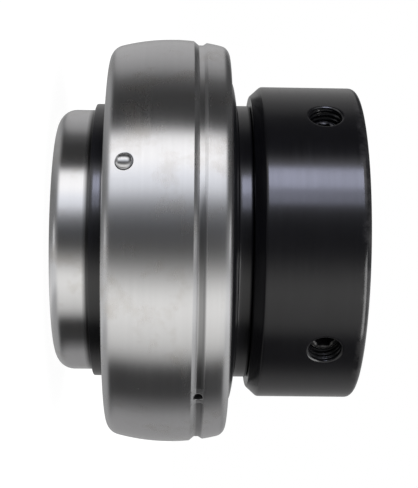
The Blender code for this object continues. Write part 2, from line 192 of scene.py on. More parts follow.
def rounded(corners, spacing=0.0006):
    """A path through (radius, height, rounding) corners: straight lines joined by arcs tangent to both.

    Each arc's centre lies on the corner's bisector, the rounding over the sine of half the corner's
    angle away. Lines longer than the spacing are divided evenly, with one more point close to each end.
    Returns the points and, for each, how near it is to an outward corner, from 0 to 1.
    """
    at = np.array([c[:2] for c in corners], float)
    pieces, edges = [], []
    for i, (point, radius) in enumerate(zip(at, [c[2] for c in corners])):
        if radius == 0.0:
            pieces.append(point[None, :])
            edges.append(0.0)
            continue
        back, on = at[i - 1] - point, at[(i + 1) % len(at)] - point
        back, on = back / np.linalg.norm(back), on / np.linalg.norm(on)
        half = acos(np.clip(back @ on, -1, 1)) / 2
        centre = point + (back + on) / np.linalg.norm(back + on) * radius / sin(half)
        start, end = point + back * radius / np.tan(half) - centre, point + on * radius / np.tan(half) - centre
        swing = pi - 2 * half
        t = np.linspace(0, 1, max(3, ceil(swing / radians(11)) + 1))[:, None]
        pieces.append(centre + (np.sin((1 - t) * swing) * start + np.sin(t * swing) * end) / sin(swing))
        edges.append(1.0 if back[0] * on[1] - back[1] * on[0] < 0 else 0.0)
    path, edge = [], []
    for i, piece in enumerate(pieces):
        path.append(piece)
        edge.append(np.full(len(piece), edges[i]))
        start, end = piece[-1], pieces[(i + 1) % len(pieces)][0]
        gap = np.linalg.norm(end - start)
        if gap > 1.2 * spacing:
            steps = max(2, ceil(gap / spacing))
            shares = np.concatenate(([CLOSE / gap], np.arange(1, steps) / steps, [1 - CLOSE / gap]))
            path.append(start + shares[:, None] * (end - start))
            line_edge = np.zeros(len(shares))
            line_edge[0], line_edge[-1] = edges[i], edges[(i + 1) % len(pieces)]
            edge.append(line_edge)
    return np.concatenate(path), np.concatenate(edge)


def bow(centre_r, centre_z, radius, start, end, spacing=0.0006):
    """Points of an arc about (centre_r, centre_z) between two angles, as corners without rounding."""
    steps = max(2, ceil(abs(end - start) * radius / spacing), ceil(abs(end - start) / radians(8)))
    t = np.linspace(start, end, steps + 1)
    return [(centre_r + radius * cos(a), centre_z + radius * sin(a), 0.0) for a in t]


def columns_at(columns, seam=SEAM):
    """The angles of evenly spaced columns round an axis."""
    return seam + tau * np.arange(columns) / columns


def arms(angle, height):
    """The frame of a hole drilled square to the bearing's axis: across, up, outwards, and its origin."""
    across = np.array([-sin(angle), cos(angle), 0.0])
    outwards = np.array([cos(angle), sin(angle), 0.0])
    return across, np.array([0.0, 0.0, 1.0]), outwards, np.array([0.0, 0.0, height])


UPRIGHT = (np.array([1.0, 0, 0]), np.array([0, 1.0, 0]), np.array([0, 0, 1.0]), np.zeros(3))


def linked(name, data):
    """A new object in the scene."""
    obj = bpy.data.objects.new(name, data)
    bpy.context.scene.collection.objects.link(obj)
    return obj


class Skin:
    """The surface of one piece, gathered block by block as whole arrays."""

    def __init__(self):
        self.points, self.faces, self.count = [], [], 0
        self.marks = {"along": [], "edge": [], "dull_and_shade": []}

    def add(self, points, along=0.0, edge=0.0, dull_and_shade=0.0):
        """Takes a block of points and returns their numbers in the block's own shape."""
        points = np.asarray(points, float)
        shape = points.shape[:-1]
        self.points.append(points.reshape(-1, 3))
        for values, given in zip(self.marks.values(), (along, edge, dull_and_shade)):
            values.append(np.broadcast_to(given, shape).reshape(-1))
        numbers = self.count + np.arange(points.size // 3).reshape(shape)
        self.count += points.size // 3
        return numbers

    def join(self, numbers, keep=None):
        """Makes a four-sided face in each cell of a grid of numbers, where keep is true."""
        cells = np.stack([numbers[:-1, :-1], numbers[:-1, 1:], numbers[1:, 1:], numbers[1:, :-1]], -1)
        self.faces.append(cells.reshape(-1, 4) if keep is None else cells[keep])

    def close(self, loop, point, along=0.0, edge=0.0, dull_and_shade=0.0):
        """Closes a ring of numbers with a fan of triangles to one point."""
        tip = self.add(np.asarray(point, float)[None, :], along, edge, dull_and_shade)[0]
        self.faces.append(np.stack([loop, np.roll(loop, -1), np.full(len(loop), tip)], -1))

    def turned(self, profile, columns, place=UPRIGHT, closed=False, edge=0.0, dull_and_shade=0.0, seam=SEAM, windows=()):
        """Carries a profile of (radius, height) points round an axis.

        A point is origin + radius * (across * cos t + up * sin t) + height * axis, for columns of t.
        A profile point of radius 0 at either end becomes one pole. Windows stay open. The edge mark has
        one value for each profile point, and the dull mark that or one for each point of the surface.
        """
        across, up, axis, origin = place
        profile = np.asarray(profile, float)
        steps = np.linalg.norm(np.diff(profile[:, :2], axis=0), axis=1)
        along = np.concatenate(([0.0], np.cumsum(steps)))
        edge, dull_and_shade = np.broadcast_to(edge, len(profile)), np.asarray(dull_and_shade, float)
        if dull_and_shade.ndim < 2:
            dull_and_shade = np.broadcast_to(dull_and_shade, len(profile))[:, None]
        dull_and_shade = np.broadcast_to(dull_and_shade, (len(profile), columns))
        rows = slice(int(profile[0, 0] == 0), len(profile) - int(profile[-1, 0] == 0))
        t = columns_at(columns, seam)
        around = np.cos(t)[:, None] * across + np.sin(t)[:, None] * up
        grid = origin + profile[rows, 0, None, None] * around + (profile[rows, 1, None] * axis)[:, None, :]
        numbers = self.add(grid, along[rows, None], edge[rows, None], dull_and_shade[rows])
        wrapped = np.hstack([numbers, numbers[:, :1]])
        if closed:
            wrapped = np.vstack([wrapped, wrapped[:1]])
        keep = np.ones((wrapped.shape[0] - 1, columns), bool)
        for window in windows:
            keep[slice(*window.rows), slice(*window.columns)] = False
        self.join(wrapped, keep)
        for end, ring in ((0, numbers[0]), (-1, numbers[-1])):
            if profile[end, 0] == 0:
                self.close(ring, origin + profile[end, 1] * axis, along[end], edge[end], dull_and_shade[end, 0])
        return numbers

    def tunnel(self, loop, rings, along, last=None, dull_and_shade=0.0):
        """Joins a ring of numbers to further rings of points, and at the end to another ring of numbers."""
        numbers = self.add(rings, along[:, None], dull_and_shade=dull_and_shade)
        stack = np.vstack([loop, numbers] + ([] if last is None else [last]))
        self.join(np.hstack([stack, stack[:, :1]]))
        return stack[-1]

    def finish(self, node, material, slot, sharp=32.0):
        """Makes the object, with normals outwards, and has it stand for its CAD node.

        Edges at which the surface turns by more than sharp, in degrees, stay sharp.
        """
        mesh = bpy.data.meshes.new(f"{node}_skin")
        faces = [face for block in self.faces for face in block.tolist()]
        mesh.from_pydata(np.concatenate(self.points).tolist(), [], faces)
        for name, values in self.marks.items():
            layer = mesh.attributes.new(name, "FLOAT", "POINT")
            layer.data.foreach_set("value", np.concatenate(values).astype(np.float32))
        bm = bmesh.new()
        bm.from_mesh(mesh)
        bmesh.ops.recalc_face_normals(bm, faces=bm.faces)
        bm.to_mesh(mesh)
        bm.free()
        mesh.polygons.foreach_set("use_smooth", np.ones(len(mesh.polygons), bool))
        mesh.set_sharp_from_angle(angle=radians(sharp))
        mesh.materials.append(material)
        obj = linked(f"{node}_skin", mesh)
        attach(obj, BODY_OF[node])
        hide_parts(node)


def turned_piece(node, profile, columns, finish, slot, sharp=32.0, **how):
    """Makes a piece that is one turned surface."""
    skin = Skin()
    skin.turned(profile, columns, **how)
    skin.finish(node, finish_named(finish), slot, sharp)


def revolved(path, columns):
    """The points of a (radius, height) path carried round the Z axis."""
    t = columns_at(columns)
    radius, height = path[:, :1], np.broadcast_to(path[:, 1:], (len(path), columns))
    return np.stack([radius * np.cos(t), radius * np.sin(t), height], -1)


class Window:
    """A rectangle left open in a turned wall, from which the surface runs on into a radial hole.

    Round the hole a point is given by p, how far it lies across from the hole's axis, and q, how far
    above it. On the wall its distance out is sqrt(R(z) ** 2 - p ** 2), R being the wall's radius.
    """

    def __init__(self, grid, angle, height, rows, half_columns, radius_at):
        """Goes once round the window's sides, and gives each point its p, its q and its angle t round the hole."""
        columns = grid.shape[1]
        middle = round((angle - SEAM) / tau * columns)
        self.rows, self.columns = rows, (middle - half_columns, middle + half_columns)
        self.arms, self.radius_at = arms(angle, height), radius_at
        (i0, i1), (j0, j1) = self.rows, self.columns
        i = np.concatenate([np.full(j1 - j0, i0), np.arange(i0, i1), np.full(j1 - j0, i1), np.arange(i1, i0, -1)])
        j = np.concatenate([np.arange(j0, j1), np.full(i1 - i0, j1), np.arange(j1, j0, -1), np.full(i1 - i0, j0)])
        self.index = (i, j)
        around = grid[i, j] - self.arms[3]
        self.p, self.q = around @ self.arms[0], around[:, 2]
        self.t = np.arctan2(self.q, self.p)

    def place(self, p, q, out):
        """Points at origin + p * across + q * up + out * outwards."""
        across, up, outwards, origin = self.arms
        return origin + p[..., None] * across + q[..., None] * up + out[..., None] * outwards

    def on_wall(self, p, q):
        """Points on the turned wall at p and q."""
        return self.place(p, q, np.sqrt(self.radius_at(self.arms[3][2] + q) ** 2 - p**2))

    def collar_of(self, rim, steps=6):
        """Rings on the wall from the window's sides in to a rim of given radius round the hole."""
        share = (np.linspace(1, 0, steps + 1)[1:, None]) ** 1.3
        p0, q0 = rim * np.cos(self.t), rim * np.sin(self.t)
        return self.on_wall(p0 + share * (self.p - p0), q0 + share * (self.q - q0))

    def ring(self, radius, out):
        """Rings of the hole's own wall: a radius about the hole's axis at a distance out."""
        radius, out = np.broadcast_arrays(radius + 0 * self.t, out + 0 * self.t)
        return self.place(radius * np.cos(self.t), radius * np.sin(self.t), out)

    def lip(self, radius, lip, out):
        """Rings of the rounding by which the wall turns into the hole, from a distance out inwards."""
        return [self.ring(radius + lip * (1 - sin(a)), out - lip * (1 - cos(a))) for a in LIP_ARC]


def screw_windows(s, path, grid, radii, half_rows, half_columns):
    """For each set screw, its windows in a piece's walls of given radii."""
    pairs = []
    for angle in (s.upper_screw, s.lower_screw):
        pairs.append([])
        for radius in radii:
            wall = np.nonzero(abs(path[:, 0] - radius) < SAME)[0]
            near = wall[np.argmin(abs(path[wall, 1] - s.screw_height))]
            rows = (near - half_rows, near + half_rows)
            window = Window(grid, angle, s.screw_height, rows, half_columns, lambda z, radius=radius: radius + 0 * z)
            pairs[-1].append(window)
    return pairs


def smooth(low_end, high_end, x):
    """Rises from 0 to 1 between two values without corners."""
    s = np.clip((x - low_end) / (high_end - low_end), 0, 1)
    return s * s * (3 - 2 * s)


def thread(out, t, pitch):
    """A rounded V thread: the share of its depth at a distance out and an angle, 0 at crests."""
    phase = (out / pitch + t / tau) % 1.0
    return smooth(0.08, 0.5, np.abs(phase - 0.5) + 0.04)


# Finishes


def feed(node, inputs):
    """Sets or links a node's inputs."""
    for socket, value in inputs.items():
        if isinstance(value, bpy.types.NodeSocket):
            node.id_data.links.new(value, node.inputs[socket])
        else:
            node.inputs[socket].default_value = value
    return node


def add(tree, kind, inputs=None, **settings):
    """Adds a node, sets its options, and sets or links its inputs."""
    node = tree.nodes.new(kind)
    for key, value in settings.items():
        setattr(node, key, value)
    return feed(node, inputs or {})


def maths(tree, operation, a, b=0.0, clamp=False):
    """The result of an operation on a and b."""
    return add(tree, "ShaderNodeMath", {0: a, 1: b}, operation=operation, use_clamp=clamp).outputs[0]


def scaled(tree, value, by, plus):
    """A value times a factor, plus an offset."""
    return add(tree, "ShaderNodeMath", {0: value, 1: by, 2: plus}, operation="MULTIPLY_ADD").outputs[0]


def blend(tree, share, a, b):
    """Goes from a to b while the share goes from 0 to 1."""
    return add(tree, "ShaderNodeMix", {"Factor": share, 6: a, 7: b}, data_type="RGBA").outputs[2]


def ramp(tree, share, stops):
    """A colour ramp from (position, value or colour) stops."""
    node = add(tree, "ShaderNodeValToRGB", {"Fac": share})
    elements = node.color_ramp.elements
    for number, (position, value) in enumerate(stops):
        element = elements[number] if number < 2 else elements.new(position)
        element.position = position
        element.color = (*value, 1.0) if isinstance(value, tuple) else (value, value, value, 1.0)
    return node.outputs["Color"]


def shade(colour, by=1.0):
    """A colour with each of its parts times a factor, and full alpha."""
    return (*[by * c for c in colour], 1.0)


def new_material(name):
    """A material, with its node tree and its shader."""
    material = bpy.data.materials.new(name)
    material.use_nodes = True
    tree = material.node_tree
    return material, tree, tree.nodes["Principled BSDF"]


def noise(tree, vector, scale, detail, roughness=0.6):
    """Fractal noise from 0 to 1 at a place times the scale."""
    inputs = {"Vector": vector, "Scale": scale, "Detail": detail, "Roughness": roughness}
    return add(tree, "ShaderNodeTexNoise", inputs).outputs["Fac"]


def object_place(tree):
    """Where a point lies in its object's coordinates, in metres."""
    return add(tree, "ShaderNodeTexCoord").outputs["Object"]


def mark(tree, name):
    """The value that a skin carries under a name."""
    return add(tree, "ShaderNodeAttribute", attribute_name=name).outputs["Fac"]


def turned_place(tree, slow, fast):
    """Where a point lies on turned work: x and y change slowly round it, the profile's length fast."""
    parts = add(tree, "ShaderNodeSeparateXYZ", {0: object_place(tree)})
    x, y = (maths(tree, "MULTIPLY", parts.outputs[axis], slow) for axis in (0, 1))
    along = maths(tree, "MULTIPLY", mark(tree, "along"), fast)
    return add(tree, "ShaderNodeCombineXYZ", {0: x, 1: y, 2: along}).outputs[0]


def relief(tree, shader, height, strength, distance):
    """Tilts the shader's normal as if the surface rose by the distance while the height goes from 0 to 1."""
    bump = add(tree, "ShaderNodeBump", {"Strength": strength, "Distance": distance, "Height": height})
    feed(shader, {"Normal": bump.outputs[0]})


def turning(tree, shader, anisotropy, lines, streaks, share, strength):
    """Turning or grinding lines round the axis, which stretch highlights across them."""
    tangent = add(tree, "ShaderNodeTangent", direction_type="RADIAL", axis="Z").outputs[0]
    feed(shader, {"Anisotropic": anisotropy, "Anisotropic Rotation": 0.25, "Tangent": tangent})
    height = maths(tree, "ADD", lines, maths(tree, "MULTIPLY", streaks, share))
    relief(tree, shader, height, strength, 0.000004)


def ground_steel(name, colour, stain, roughness=0.25, anisotropy=0.7, dull_and_shade_share=0.42):
    """Ground steel: fine lines round the axis and cloudy stains, darker and rougher where the skin's mark says so:
    where it is only turned, and where shade is painted.
    """
    material, tree, shader = new_material(name)
    lines = noise(tree, turned_place(tree, 18.0, 9000.0), 1.0, 3.0)
    streaks = noise(tree, turned_place(tree, 30.0, 1500.0), 1.0, 3.0, 0.55)
    clouds = noise(tree, object_place(tree), 170.0, 4.0)
    stained = maths(tree, "MULTIPLY", ramp(tree, clouds, ((0.52, 0.0), (0.72, 1.0))), 0.45)
    base = blend(tree, maths(tree, "MULTIPLY", streaks, 0.18), shade(colour), shade(colour, 0.78))
    base = blend(tree, stained, base, shade(stain))
    # Where the mark is set the colour darkens and roughens: turned finish in some places, painted shade in others
    dull_and_shade = maths(tree, "MULTIPLY", mark(tree, "dull_and_shade"), scaled(tree, streaks, 0.3, 0.85), clamp=True)
    base = blend(tree, dull_and_shade, base, shade(colour, dull_and_shade_share))
    rough = scaled(tree, stained, 0.10, roughness - 0.05)
    rough = maths(tree, "ADD", rough, maths(tree, "MULTIPLY", streaks, 0.10))
    feed(shader, {"Base Color": base, "Metallic": 1.0, "Roughness": scaled(tree, dull_and_shade, 0.08, rough)})
    turning(tree, shader, anisotropy, lines, streaks, 2.0, 0.35)
    return material


def black_oxide(name, colour, bare, roughness=0.20, gloss=0.42):
    """Blackened turned steel: a dark glossy skin with turning lines, thinner along its edges."""
    material, tree, shader = new_material(name)
    lines = noise(tree, turned_place(tree, 25.0, 6000.0), 1.0, 2.0, 0.5)
    streaks = noise(tree, turned_place(tree, 40.0, 1100.0), 1.0, 3.0)
    clouds = noise(tree, object_place(tree), 260.0, 5.0, 0.65)
    rubbed = maths(tree, "MULTIPLY", mark(tree, "edge"), ramp(tree, clouds, ((0.45, 0.0), (0.70, 1.0))))
    rubbed = maths(tree, "MULTIPLY", rubbed, 0.15)
    cloudy = blend(tree, clouds, shade(colour, 0.7), shade(colour, 1.5))
    rough = scaled(tree, streaks, 0.12, roughness - 0.06)
    base = blend(tree, rubbed, cloudy, shade(bare))
    feed(shader, {"Base Color": base, "Specular IOR Level": gloss, "Roughness": rough})
    turning(tree, shader, 0.4, lines, streaks, 1.5, 0.3)
    return material


def screw_black(name, colour, bare):
    """The set screws' black finish, rubbed where a key goes."""
    material, tree, shader = new_material(name)
    clouds = noise(tree, object_place(tree), 1400.0, 4.0)
    rubbed = maths(tree, "MULTIPLY", mark(tree, "edge"), ramp(tree, clouds, ((0.42, 0.0), (0.62, 0.7))))
    base, rough = blend(tree, rubbed, shade(colour), shade(bare)), scaled(tree, clouds, 0.16, 0.28)
    feed(shader, {"Base Color": base, "Specular IOR Level": 0.6, "Roughness": rough})
    relief(tree, shader, clouds, 0.25, 0.00001)
    return material


def even_finish(name, colour, shares, metallic, size, detail, rough, grain=None):
    """A finish without lines: soft clouds between two shares of its colour, and a grain in relief."""
    material, tree, shader = new_material(name)
    clouds = noise(tree, object_place(tree), size, detail)
    base = blend(tree, clouds, *(shade(colour, share) for share in shares))
    feed(shader, {"Base Color": base, "Metallic": metallic, "Roughness": scaled(tree, clouds, *rough)})
    if grain:
        fine, strength, distance = grain
        relief(tree, shader, noise(tree, object_place(tree), fine, 3.0), strength, distance)
    return material


def finish_named(name):
    """The material of a name, made the first time it is asked for."""
    if name in bpy.data.materials:
        return bpy.data.materials[name]
    f = bpy.context.scene.bearing_finishes
    # Painted light: the plain side's flinger has the oxide's colour made 2.4 times lighter
    lit_copy_oxide = [2.4 * c for c in f.oxide]
    make, *how = {
        "ring_ground_steel": (ground_steel, f.ground, f.stain),
        # The land's share of 0.12 sets how dark its painted shade beside the flinger and its collar side become
        "land_ground_steel": (ground_steel, f.ground, f.stain, 0.20, 0.6, 0.12),
        "pin_steel": (ground_steel, f.ground, f.stain, 0.26, 0.0),
        "collar_black_oxide": (black_oxide, f.oxide, f.bare),
        "flinger_black": (black_oxide, f.oxide, f.bare, 0.22),
        "flinger_thin_black": (black_oxide, lit_copy_oxide, f.bare, 0.24, 0.6),
        "set_screw_black": (screw_black, f.oxide, f.bare),
        "moulded_rubber": (even_finish, f.rubber, (1.0, 1.7), 0.0, 220.0, 3.0, (0.2, 0.45), (5200.0, 0.3, 0.00002)),
        "pressed_sheet": (even_finish, f.pressed, (0.62, 1.0), 1.0, 300.0, 4.0, (0.2, 0.24), (2400.0, 0.25, 0.00001)),
        "polished_ball_steel": (even_finish, f.polished, (0.82, 1.0), 1.0, 420.0, 3.0, (0.12, 0.03)),
    }[name]
    return make(name, *how)


# Pieces


def race(bottom, sign, s):
    """The race's arc from its upper shoulder round its bottom to its lower shoulder."""
    half = acos((s.race_radius - s.race_depth) / s.race_radius)
    centre = bottom - sign * s.race_radius
    t = np.linspace(-half, half, 19)
    return [(centre + sign * s.race_radius * cos(a), s.ball_plane - s.race_radius * sin(a), 0.0) for a in t]


def ring_corners(s, spacing=0.0006):
    """The outer ring's section. Each outside rounding touches its end face and the spherical outside."""
    zb, chamfer, groove = s.ball_plane, 0.0004, s.shoulder + 0.0010
    mouth, blunt, slot_edge, seat_round = s.shoulder + chamfer, 0.00015, 0.00030, 0.0001
    seal_start, seal_end = SHOULDER_REACH + 0.00035, SHOULDER_REACH + 0.00135

    def rounding(radius, height):
        """A rounding's centre, a radius nearer the sphere's centre than the outside, and the angle of their touch."""
        centre = sqrt((s.outer - radius) ** 2 - (height - zb) ** 2)
        return centre, np.arctan2(height - zb, centre)

    low_centre, low_touch = rounding(s.plain_round, s.ring_low + s.plain_round)
    high_centre, high_touch = rounding(s.collar_round, s.ring_high - s.collar_round)
    half = s.slot_width / 2
    slot_low = s.slot_height - half - 0.0001
    slot_start = np.arcsin((slot_low - zb) / s.outer)
    slot_end = np.arcsin((s.slot_height + half - zb) / s.outer)
    floor = sqrt(s.outer**2 - (s.slot_height - zb) ** 2) - s.slot_depth
    corners = [(mouth, s.ring_low, blunt)]
    corners += bow(low_centre, s.ring_low + s.plain_round, s.plain_round, -pi / 2, low_touch, spacing)
    corners += bow(0.0, zb, s.outer, low_touch, slot_start, spacing)[1:-1]
    corners += [(s.outer * cos(slot_start), slot_low, slot_edge)]
    corners += [(floor, s.slot_height - 0.3 * half, slot_edge), (floor, s.slot_height + 0.4 * half, 0.00025)]
    corners += [(s.outer * cos(slot_end), s.slot_height + half, slot_edge)]
    corners += bow(0.0, zb, s.outer, slot_end, high_touch, spacing)[1:]
    corners += bow(high_centre, s.ring_high - s.collar_round, s.collar_round, high_touch, pi / 2, spacing)[1:]
    corners += [(mouth, s.ring_high, blunt), (s.shoulder, s.ring_high - chamfer, blunt)]
    seat = [(s.shoulder, seal_end), (groove, seal_end), (groove, seal_start), (s.shoulder, seal_start)]
    corners += [(r, zb + away, seat_round) for r, away in seat]
    corners += race(s.shoulder + s.race_depth, 1, s)
    corners += [(r, zb - away, seat_round) for r, away in seat[::-1]]
    corners += [(s.shoulder, s.ring_low + chamfer, blunt)]
    return corners


def rows_between(path, first, last, start, end):
    """The rows of a path, between two of its rows, that hold the heights start to end just inside."""
    heights = path[first:last, 1]
    below, above = np.nonzero(heights < start)[0], np.nonzero(heights > end)[0]
    return first + int(below.max()), first + int(above.min())


class BEARING_OT_outer_ring(bpy.types.Operator):
    """Make the outer ring with its spherical outside, grease groove, grease hole and pin seat"""

    bl_idname = "bearing.outer_ring"
    bl_label = "Outer Ring"

    def execute(self, context):
        s = context.scene.bearing_sizes
        path, edge = rounded(ring_corners(s))
        # The outside with its points close together gives the wall's radius at any height
        close_up = 0.00004
        fine, _ = rounded(ring_corners(s, close_up), close_up)
        wall = fine[: int(np.argmax(fine[:, 1] >= s.ring_high - SAME))]

        def radius_at(z):
            """The wall's radius at a height, in a straight line between its points."""
            return np.interp(z, wall[:, 1], wall[:, 0])

        top = int(np.argmax(path[:, 1] >= s.ring_high - SAME))
        columns = 320
        grid = revolved(path, columns)

        def window_at(angle, height, reach, half_columns):
            """The window of the rows within reach of a hole's height."""
            rows = rows_between(path, 1, top, height - reach, height + reach)
            return Window(grid, angle, height, rows, half_columns, radius_at)

        grease_window = window_at(s.grease_angle, s.slot_height, 0.0014, 3)
        seat_window = window_at(s.pin_angle, s.pin_height, 0.0021, 4)

        # Only turned, and so duller: the outside roundings, the end faces and the seal seats. Their darker colour is
        # partly that finish and partly painted shade, heavier on the collar side than on the plain side
        away = s.outer - np.hypot(path[:, 0], path[:, 1] - s.ball_plane)
        from_middle = abs(path[:, 1] - s.ball_plane)
        dull_and_shade = smooth(0.0002, 0.0009, away) * np.where(path[:, 1] > s.ball_plane, 0.5, 0.1)
        in_slot = (abs(path[:, 1] - s.slot_height) < 0.6 * s.slot_width) & (path[:, 0] > s.shoulder + 0.003)
        dull_and_shade[in_slot] = 0.0
        in_race = (path[:, 0] < s.shoulder + s.race_depth + 1e-5) & (from_middle < SHOULDER_REACH)
        dull_and_shade[in_race] = 0.0
        dull_and_shade[(path[:, 1] < s.ring_low + SAME) | (path[:, 1] > s.ring_high - SAME)] = 0.2
        # Painted shade: the groove's floor is darker on its collar side, on all but the side towards -X, which is the
        # upper side in the camera's view
        downwards = np.cos(columns_at(columns))
        groove_shade = in_slot * smooth(-0.0006, 0.0002, path[:, 1] - s.slot_height) * smooth(0.0001, 0.0004, away)
        dull_and_shade = dull_and_shade[:, None] + 1.7 * groove_shade[:, None] * smooth(-0.30, -0.05, downwards)

        skin = Skin()
        windows = (grease_window, seat_window)
        numbers = skin.turned(path, columns, closed=True, edge=edge, dull_and_shade=dull_and_shade, windows=windows)
        # Each hole runs from its lip down to a flat bottom
        grease_bottom = radius_at(s.slot_height) - 0.0040
        seat_bottom = radius_at(s.pin_height) - s.pin_depth - FIT
        holes = ((grease_window, s.grease_hole, 0.00007, grease_bottom),)
        holes += ((seat_window, s.pin_radius + 0.00003, 0.00012, seat_bottom),)
        for window, radius, lip, bottom in holes:
            p, q = radius * np.cos(window.t), radius * np.sin(window.t)
            rim = np.linalg.norm(window.on_wall(p, q)[:, :2], axis=1)
            out = np.sqrt(rim**2 - p**2)
            rings = list(window.collar_of(radius + lip)) + window.lip(radius, lip, out)
            rings += [window.ring(radius, (out - lip) * (1 - k) + bottom * k) for k in np.linspace(0, 1, 9)[1:]]
            # Deeper in each hole the colour darkens: painted shade
            deep = np.linspace(0, 1, len(rings))[:, None]
            loop = skin.tunnel(numbers[window.index], np.array(rings), 0.004 * deep[:, 0], dull_and_shade=smooth(0.3, 0.5, deep))
            skin.close(loop, window.place(*np.array([[0.0], [0.0], [bottom - 0.0002]]))[0], dull_and_shade=1.0)
        skin.finish("outer_ring", finish_named("ring_ground_steel"), "ground_steel")
        return {"FINISHED"}


class BEARING_OT_inner_ring(bpy.types.Operator):
    """Make the inner ring with its rounded plain end, race, neck and two clearance holes"""

    bl_idname = "bearing.inner_ring"
    bl_label = "Inner Ring"

    def execute(self, context):
        s = context.scene.bearing_sizes
        step = s.collar_base - FIT
        chamfer, blunt = 0.0008, 0.00015
        corners = [(s.bore + chamfer, 0.0, 0.0002), (s.land, 0.0, s.plain_end_round)]
        corners += race(s.land - s.race_depth, -1, s)[::-1]
        corners += [(s.land, step, 0.0002), (s.neck, step, 0.0003), (s.neck, s.inner_top, 0.0005)]
        corners += [(s.bore + chamfer, s.inner_top, blunt), (s.bore, s.inner_top - chamfer, blunt)]
        corners += [(s.bore, chamfer, blunt)]
        path, edge = rounded(corners)
        columns = 300
        pairs = screw_windows(s, path, revolved(path, columns), (s.neck, s.bore), 7, 11)

        # Painted shade darkens the land where it meets the plain side's flinger
        on_land = path[:, 0] > s.land - 1e-5
        dull_and_shade = np.where(on_land, 1.6 * smooth(s.land_shade_start, s.land_shade_end, path[:, 1]), 0.0)
        dull_and_shade[path[:, 1] > s.ball_plane] = 0.5
        skin = Skin()
        numbers = skin.turned(path, columns, closed=True, edge=edge, dull_and_shade=dull_and_shade, windows=sum(pairs, []))
        for outer, inner in pairs:
            join_through(skin, numbers, outer, inner, s.screw_radius + 0.0004, s.neck, s.bore)
        skin.finish("inner_ring", finish_named("land_ground_steel"), "ground_steel")
        return {"FINISHED"}


def join_through(skin, numbers, outer, inner, radius, outside, inside, lip=0.0002, sink=None, wall=None):
    """Runs a radial hole from the window in the outer wall to the window in the inner wall.

    The inner window's points run the other way round in height on the path, so they are taken in
    the order that matches the outer window's angles. A sink is the rings of a countersink, and wall
    then gives the rings of the hole's wall down to a distance out.
    """
    order = matching(outer, inner)
    p = radius * np.cos(outer.t)
    start, end = np.sqrt(outside**2 - p**2), np.sqrt(inside**2 - p**2)
    if sink is None:
        rings = list(outer.collar_of(radius + lip)) + outer.lip(radius, lip, start)
        rings += [outer.ring(radius, (start - lip) * (1 - k) + (end + lip) * k) for k in np.linspace(0.1, 1, 9)]
    else:
        rings = sink + wall(end + lip)
    rings += [outer.ring(radius + lip * (1 - cos(a)), end + lip * (1 - sin(a))) for a in LIP_ARC]
    inner_p, inner_q = inner.p[order], inner.q[order]
    share = np.linspace(0, 1, 7)[1:-1, None]
    p0, q0 = (radius + lip) * np.cos(outer.t), (radius + lip) * np.sin(outer.t)
    rings += list(inner.on_wall(p0 + share * (inner_p - p0), q0 + share * (inner_q - q0)))
    last = numbers[inner.index][order]
    skin.tunnel(numbers[outer.index], np.array(rings), np.linspace(0, 0.006, len(rings)), last)


def matching(outer, inner):
    """The order of the inner window's points that starts and turns as the outer window's do."""
    count = len(outer.t)
    starts, steps = np.arange(count)[:, None], np.arange(count)
    orders = np.vstack([starts + steps, starts - steps]) % count
    gaps = np.angle(np.exp(1j * (inner.t[orders] - outer.t)))
    return orders[np.abs(gaps).sum(1).argmin()]


class BEARING_OT_locking_collar(bpy.types.Operator):
    """Make the locking collar with its two countersunk, threaded holes"""

    bl_idname = "bearing.locking_collar"
    bl_label = "Locking Collar"

    def execute(self, context):
        s = context.scene.bearing_sizes
        bore_edge = 0.0006
        corners = [(s.collar_bore, s.collar_base, 0.0002), (s.collar - s.base_bevel, s.collar_base, 0.0004)]
        corners += [(s.collar, s.collar_base + 1.1 * s.base_bevel, 0.0009)]
        corners += [(s.collar, s.collar_top - s.end_slope, s.end_round)]
        corners += [(s.collar - s.end_width, s.collar_top, s.end_round)]
        corners += [(s.collar_bore + bore_edge, s.collar_top, 0.0002)]
        corners += [(s.collar_bore, s.collar_top - bore_edge, 0.0002)]
        path, edge = rounded(corners)
        # The base lies behind the flinger and isn't worn
        edge[path[:, 1] < s.collar_base + 2 * s.base_bevel] = 0.0
        columns = 320
        pairs = screw_windows(s, path, revolved(path, columns), (s.collar, s.collar_bore), 8, 9)
        skin = Skin()
        numbers = skin.turned(path, columns, closed=True, edge=edge, windows=sum(pairs, []))
        radius, lip, blend_in, depth = s.screw_radius + 0.0001, 0.00015, 0.00005, 0.00026
        sink_floor = s.collar - s.sink
        for outer, inner in pairs:
            # The countersink's rim lies where its cone meets the collar's outside
            rim = np.full(outer.t.shape, radius + s.sink)
            for _ in range(6):
                surface = np.sqrt(s.collar**2 - (rim * np.cos(outer.t)) ** 2)
                rim = radius + surface - sink_floor
            # A curve in squares of k rounds the rim off, from the collar's outside on to the cone
            rings = list(outer.collar_of(rim + lip))
            on_edge = np.sqrt(s.collar**2 - ((rim + lip) * np.cos(outer.t)) ** 2)
            cone = rim - lip
            on_cone = sink_floor + cone - radius
            for k in (0.3, 0.6, 1.0):
                a, b, c = (1 - k) ** 2, 2 * k * (1 - k), k * k
                rings.append(outer.ring(a * (rim + lip) + b * rim + c * cone, a * on_edge + b * surface + c * on_cone))
            for k in np.linspace(0, 1, 6)[1:]:
                wide = cone * (1 - k) + (radius + blend_in) * k
                rings.append(outer.ring(wide, on_cone * (1 - k) + (sink_floor + blend_in) * k))

            def wall(end, outer=outer):
                """The hole's radius plus the thread's depth, which fades at both ends."""
                deep = np.linspace(0, 1, 58)[1:, None]
                out = (sink_floor - blend_in) * (1 - deep) + end * deep
                fade = smooth(0.0, 0.05, deep) * smooth(0.0, 0.05, 1 - deep)
                return list(outer.ring(radius + depth * fade * thread(out, outer.t, s.pitch), out))

            join_through(skin, numbers, outer, inner, radius, s.collar, s.collar_bore, sink=rings, wall=wall)
        skin.finish("locking_collar", finish_named("collar_black_oxide"), "blackened_steel")
        return {"FINISHED"}


